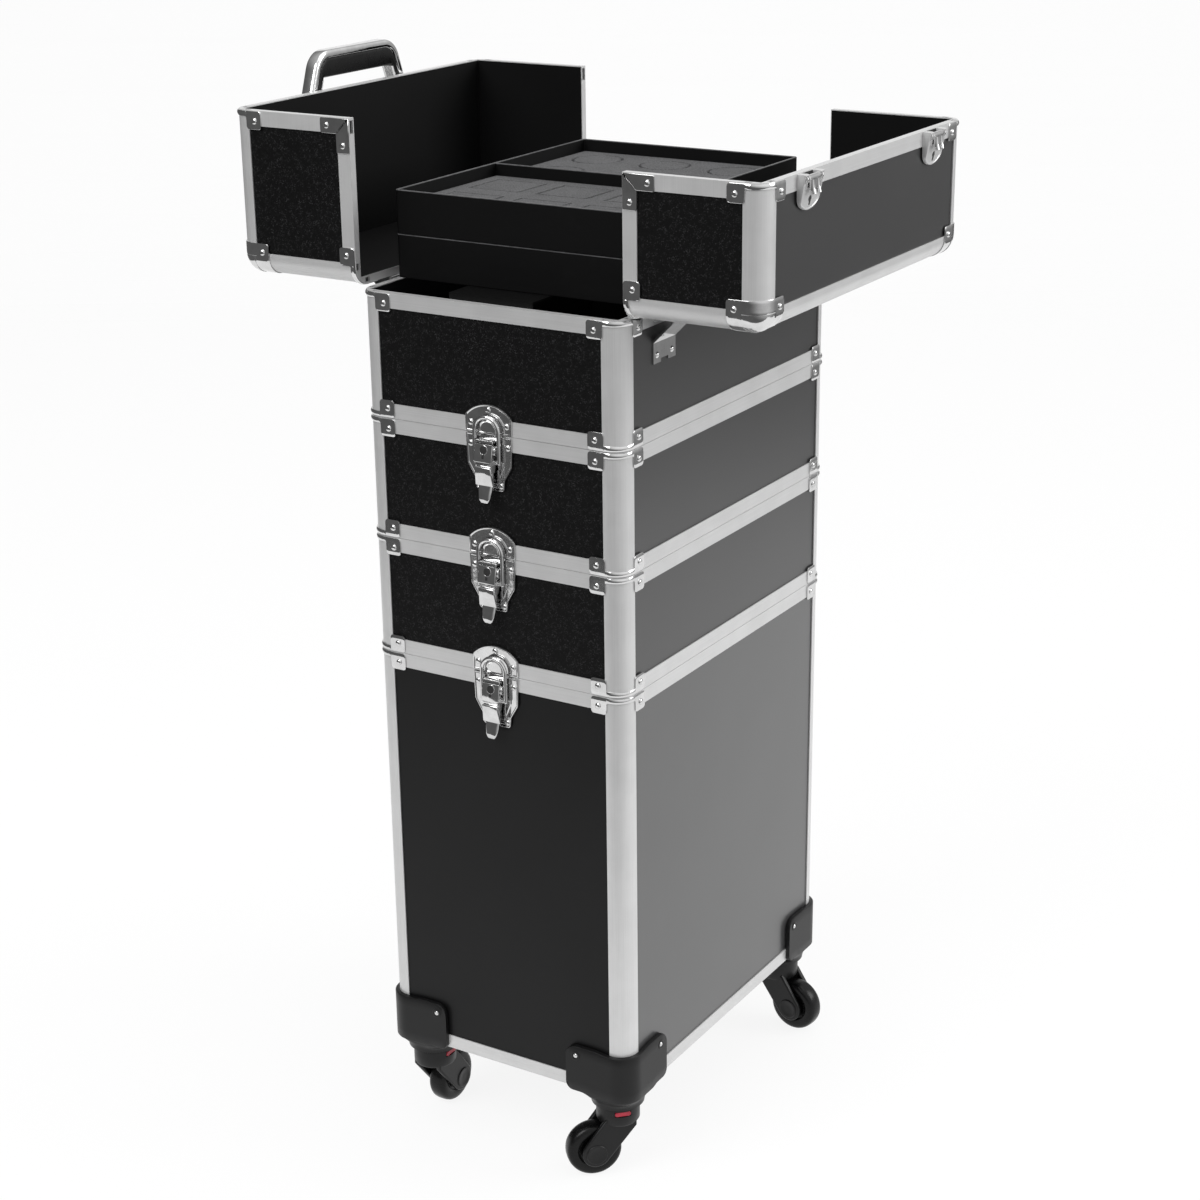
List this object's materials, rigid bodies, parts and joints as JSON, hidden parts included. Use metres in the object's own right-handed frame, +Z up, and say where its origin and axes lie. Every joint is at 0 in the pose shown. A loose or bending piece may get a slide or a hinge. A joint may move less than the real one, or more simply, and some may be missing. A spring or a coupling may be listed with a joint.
{
  "type": "rolling makeup case",
  "caption": "Rolling makeup case: an aluminium-framed bottom case on swivel casters, latched stacking tiers, and a top case with side-opening lids, a folding handle and lift-out trays.",
  "frame": {"origin": "on the floor, under the middle of the case's footprint", "axes": "+X across the narrow front towards the lid without the handle, +Y from the front to the back, +Z up"},
  "size_m": [0.5217, 0.385, 0.9492],
  "materials": {
    "board": "black laminated board, pebbled on the ends and satin on the long sides",
    "satin_aluminium": "satin anodised",
    "bright_plate": "bright nickel plate",
    "painted_steel": "black paint",
    "black_plastic": "moulded, slight sheen",
    "foam": "soft die-cut foam",
    "wheel_plastic": "hard glossy",
    "release_red": "moulded"
  },
  "bodies": {
    "bottom_case": {"bottom_case_panels": "board", "bottom_case_base": "board", "bottom_case_frame": "satin_aluminium", "bottom_case_brackets": "bright_plate", "bottom_latch_bases": "bright_plate", "caster_housings": "black_plastic"},
    "lower_tier": {"lower_tier_panels": "board", "lower_tier_frame": "satin_aluminium", "lower_tier_brackets": "bright_plate", "lower_tier_latch_plates": "bright_plate"},
    "upper_tier": {"upper_tier_panels": "board", "upper_tier_frame": "satin_aluminium", "upper_tier_brackets": "bright_plate", "upper_tier_latch_plates": "bright_plate"},
    "top_case": {"top_case_panels": "board", "top_case_frame": "satin_aluminium", "top_case_brackets": "bright_plate", "top_case_latch_keepers": "bright_plate", "lid_hinge_box_leaves": "bright_plate", "tray_supports": "painted_steel"},
    "left_lid": {"left_lid_panels": "board", "left_lid_frame": "satin_aluminium", "left_lid_hardware": "bright_plate", "left_hinge_leaves": "bright_plate", "handle_feet": "bright_plate"},
    "right_lid": {"right_lid_panels": "board", "right_lid_frame": "satin_aluminium", "right_lid_hardware": "bright_plate", "right_hinge_leaves": "bright_plate"},
    "handle": {"handle_bail": "bright_plate", "handle_grip": "black_plastic"},
    "front_lid_latch": {"front_lid_latch_flap": "bright_plate"},
    "rear_lid_latch": {"rear_lid_latch_flap": "bright_plate"},
    "lower_tray": {"lower_tray": "black_plastic"},
    "upper_tray": {"upper_tray": "black_plastic", "tray_foam": "foam"},
    "front_lower_latch_lever": {"front_lower_latch_lever": "bright_plate"},
    "front_lower_latch_bail": {"front_lower_latch_bail": "bright_plate"},
    "front_middle_latch_lever": {"front_middle_latch_lever": "bright_plate"},
    "front_middle_latch_bail": {"front_middle_latch_bail": "bright_plate"},
    "front_upper_latch_lever": {"front_upper_latch_lever": "bright_plate"},
    "front_upper_latch_bail": {"front_upper_latch_bail": "bright_plate"},
    "rear_lower_latch_lever": {"rear_lower_latch_lever": "bright_plate"},
    "rear_lower_latch_bail": {"rear_lower_latch_bail": "bright_plate"},
    "rear_middle_latch_lever": {"rear_middle_latch_lever": "bright_plate"},
    "rear_middle_latch_bail": {"rear_middle_latch_bail": "bright_plate"},
    "rear_upper_latch_lever": {"rear_upper_latch_lever": "bright_plate"},
    "rear_upper_latch_bail": {"rear_upper_latch_bail": "bright_plate"},
    "front_left_fork": {"front_left_fork": "black_plastic"},
    "front_left_wheel": {"front_left_wheel": "wheel_plastic"},
    "front_left_release": {"front_left_release": "release_red"},
    "front_right_fork": {"front_right_fork": "black_plastic"},
    "front_right_wheel": {"front_right_wheel": "wheel_plastic"},
    "front_right_release": {"front_right_release": "release_red"},
    "rear_left_fork": {"rear_left_fork": "black_plastic"},
    "rear_left_wheel": {"rear_left_wheel": "wheel_plastic"},
    "rear_left_release": {"rear_left_release": "release_red"},
    "rear_right_fork": {"rear_right_fork": "black_plastic"},
    "rear_right_wheel": {"rear_right_wheel": "wheel_plastic"},
    "rear_right_release": {"rear_right_release": "release_red"}
  },
  "joints": [
    {"name": "lower_tier_lift", "type": "slide", "parent": "bottom_case", "child": "lower_tier", "axis": [0, 0, 1], "range_m": [0, 0.12]},
    {"name": "upper_tier_lift", "type": "slide", "parent": "lower_tier", "child": "upper_tier", "axis": [0, 0, 1], "range_m": [0, 0.12]},
    {"name": "top_case_lift", "type": "slide", "parent": "upper_tier", "child": "top_case", "axis": [0, 0, 1], "range_m": [0, 0.12]},
    {"name": "left_lid_hinge", "type": "hinge", "parent": "top_case", "child": "left_lid", "pos_m": [-0.1268, 0, 0.7794], "axis": [0, -1, 0], "range_deg": [-90, 0]},
    {"name": "right_lid_hinge", "type": "hinge", "parent": "top_case", "child": "right_lid", "pos_m": [0.1268, 0, 0.7794], "axis": [0, 1, 0], "range_deg": [-90, 0]},
    {"name": "handle_hinge", "type": "hinge", "parent": "left_lid", "child": "handle", "pos_m": [-0.2566, 0, 0.8852], "axis": [0, -1, 0], "range_deg": [0, 90]},
    {"name": "front_lid_latch_hinge", "type": "hinge", "parent": "right_lid", "child": "front_lid_latch", "pos_m": [0.2527, -0.113, 0.8901], "axis": [0, -1, 0], "range_deg": [0, 150]},
    {"name": "rear_lid_latch_hinge", "type": "hinge", "parent": "right_lid", "child": "rear_lid_latch", "pos_m": [0.2527, 0.113, 0.8901], "axis": [0, -1, 0], "range_deg": [0, 150]},
    {"name": "lower_tray_lift", "type": "slide", "parent": "top_case", "child": "lower_tray", "axis": [0, 0, 1], "range_m": [0, 0.12]},
    {"name": "upper_tray_lift", "type": "slide", "parent": "lower_tray", "child": "upper_tray", "axis": [0, 0, 1], "range_m": [0, 0.06]},
    {"name": "front_lower_latch_lever_hinge", "type": "hinge", "parent": "bottom_case", "child": "front_lower_latch_lever", "pos_m": [0, -0.1865, 0.45335], "axis": [-1, 0, 0], "range_deg": [0, 60]},
    {"name": "front_lower_latch_bail_hinge", "type": "hinge", "parent": "front_lower_latch_lever", "child": "front_lower_latch_bail", "pos_m": [0, -0.1846, 0.44335], "axis": [1, 0, 0], "range_deg": [0, 160]},
    {"name": "front_middle_latch_lever_hinge", "type": "hinge", "parent": "lower_tier", "child": "front_middle_latch_lever", "pos_m": [0, -0.1865, 0.55745], "axis": [-1, 0, 0], "range_deg": [0, 60]},
    {"name": "front_middle_latch_bail_hinge", "type": "hinge", "parent": "front_middle_latch_lever", "child": "front_middle_latch_bail", "pos_m": [0, -0.1846, 0.54745], "axis": [1, 0, 0], "range_deg": [0, 160]},
    {"name": "front_upper_latch_lever_hinge", "type": "hinge", "parent": "upper_tier", "child": "front_upper_latch_lever", "pos_m": [0, -0.1865, 0.66155], "axis": [-1, 0, 0], "range_deg": [0, 60]},
    {"name": "front_upper_latch_bail_hinge", "type": "hinge", "parent": "front_upper_latch_lever", "child": "front_upper_latch_bail", "pos_m": [0, -0.1846, 0.65155], "axis": [1, 0, 0], "range_deg": [0, 160]},
    {"name": "rear_lower_latch_lever_hinge", "type": "hinge", "parent": "bottom_case", "child": "rear_lower_latch_lever", "pos_m": [0, 0.1865, 0.45335], "axis": [1, 0, 0], "range_deg": [0, 60]},
    {"name": "rear_lower_latch_bail_hinge", "type": "hinge", "parent": "rear_lower_latch_lever", "child": "rear_lower_latch_bail", "pos_m": [0, 0.1846, 0.44335], "axis": [-1, 0, 0], "range_deg": [0, 160]},
    {"name": "rear_middle_latch_lever_hinge", "type": "hinge", "parent": "lower_tier", "child": "rear_middle_latch_lever", "pos_m": [0, 0.1865, 0.55745], "axis": [1, 0, 0], "range_deg": [0, 60]},
    {"name": "rear_middle_latch_bail_hinge", "type": "hinge", "parent": "rear_middle_latch_lever", "child": "rear_middle_latch_bail", "pos_m": [0, 0.1846, 0.54745], "axis": [-1, 0, 0], "range_deg": [0, 160]},
    {"name": "rear_upper_latch_lever_hinge", "type": "hinge", "parent": "upper_tier", "child": "rear_upper_latch_lever", "pos_m": [0, 0.1865, 0.66155], "axis": [1, 0, 0], "range_deg": [0, 60]},
    {"name": "rear_upper_latch_bail_hinge", "type": "hinge", "parent": "rear_upper_latch_lever", "child": "rear_upper_latch_bail", "pos_m": [0, 0.1846, 0.65155], "axis": [-1, 0, 0], "range_deg": [0, 160]},
    {"name": "front_left_swivel", "type": "hinge", "parent": "bottom_case", "child": "front_left_fork", "pos_m": [-0.099, -0.154, 0.07], "axis": [0, 0, 1], "continuous": true},
    {"name": "front_left_wheel_spin", "type": "hinge", "parent": "front_left_fork", "child": "front_left_wheel", "pos_m": [-0.099, -0.131, 0.025], "axis": [-1, 0, 0], "continuous": true},
    {"name": "front_left_release_press", "type": "slide", "parent": "front_left_fork", "child": "front_left_release", "axis": [-1, 0, 0], "range_m": [0, 0.002], "stiffness_N_per_m": 300},
    {"name": "front_right_swivel", "type": "hinge", "parent": "bottom_case", "child": "front_right_fork", "pos_m": [0.099, -0.154, 0.07], "axis": [0, 0, 1], "continuous": true},
    {"name": "front_right_wheel_spin", "type": "hinge", "parent": "front_right_fork", "child": "front_right_wheel", "pos_m": [0.08274, -0.17026, 0.025], "axis": [0.7071, -0.7071, 0], "continuous": true},
    {"name": "front_right_release_press", "type": "slide", "parent": "front_right_fork", "child": "front_right_release", "axis": [0.7071, -0.7071, 0], "range_m": [0, 0.002], "stiffness_N_per_m": 300},
    {"name": "rear_left_swivel", "type": "hinge", "parent": "bottom_case", "child": "rear_left_fork", "pos_m": [-0.099, 0.154, 0.07], "axis": [0, 0, 1], "continuous": true},
    {"name": "rear_left_wheel_spin", "type": "hinge", "parent": "rear_left_fork", "child": "rear_left_wheel", "pos_m": [-0.11784, 0.16719, 0.025], "axis": [-0.5736, -0.8192, 0], "continuous": true},
    {"name": "rear_left_release_press", "type": "slide", "parent": "rear_left_fork", "child": "rear_left_release", "axis": [-0.5736, -0.8192, 0], "range_m": [0, 0.002], "stiffness_N_per_m": 300},
    {"name": "rear_right_swivel", "type": "hinge", "parent": "bottom_case", "child": "rear_right_fork", "pos_m": [0.099, 0.154, 0.07], "axis": [0, 0, 1], "continuous": true},
    {"name": "rear_right_wheel_spin", "type": "hinge", "parent": "rear_right_fork", "child": "rear_right_wheel", "pos_m": [0.12178, 0.1508, 0.025], "axis": [0.1392, 0.9903, 0], "continuous": true},
    {"name": "rear_right_release_press", "type": "slide", "parent": "rear_right_fork", "child": "rear_right_release", "axis": [0.1392, 0.9903, 0], "range_m": [0, 0.002], "stiffness_N_per_m": 300}
  ],
  "couplings": [
    {"joint": "front_lower_latch_lever_hinge", "follows": "lower_tier_lift", "rad_per_m": 8.7},
    {"joint": "front_lower_latch_bail_hinge", "follows": "lower_tier_lift", "rad_per_m": 23.2},
    {"joint": "front_middle_latch_lever_hinge", "follows": "upper_tier_lift", "rad_per_m": 8.7},
    {"joint": "front_middle_latch_bail_hinge", "follows": "upper_tier_lift", "rad_per_m": 23.2},
    {"joint": "front_upper_latch_lever_hinge", "follows": "top_case_lift", "rad_per_m": 8.7},
    {"joint": "front_upper_latch_bail_hinge", "follows": "top_case_lift", "rad_per_m": 23.2},
    {"joint": "rear_lower_latch_lever_hinge", "follows": "lower_tier_lift", "rad_per_m": 8.7},
    {"joint": "rear_lower_latch_bail_hinge", "follows": "lower_tier_lift", "rad_per_m": 23.2},
    {"joint": "rear_middle_latch_lever_hinge", "follows": "upper_tier_lift", "rad_per_m": 8.7},
    {"joint": "rear_middle_latch_bail_hinge", "follows": "upper_tier_lift", "rad_per_m": 23.2},
    {"joint": "rear_upper_latch_lever_hinge", "follows": "top_case_lift", "rad_per_m": 8.7},
    {"joint": "rear_upper_latch_bail_hinge", "follows": "top_case_lift", "rad_per_m": 23.2}
  ]
}
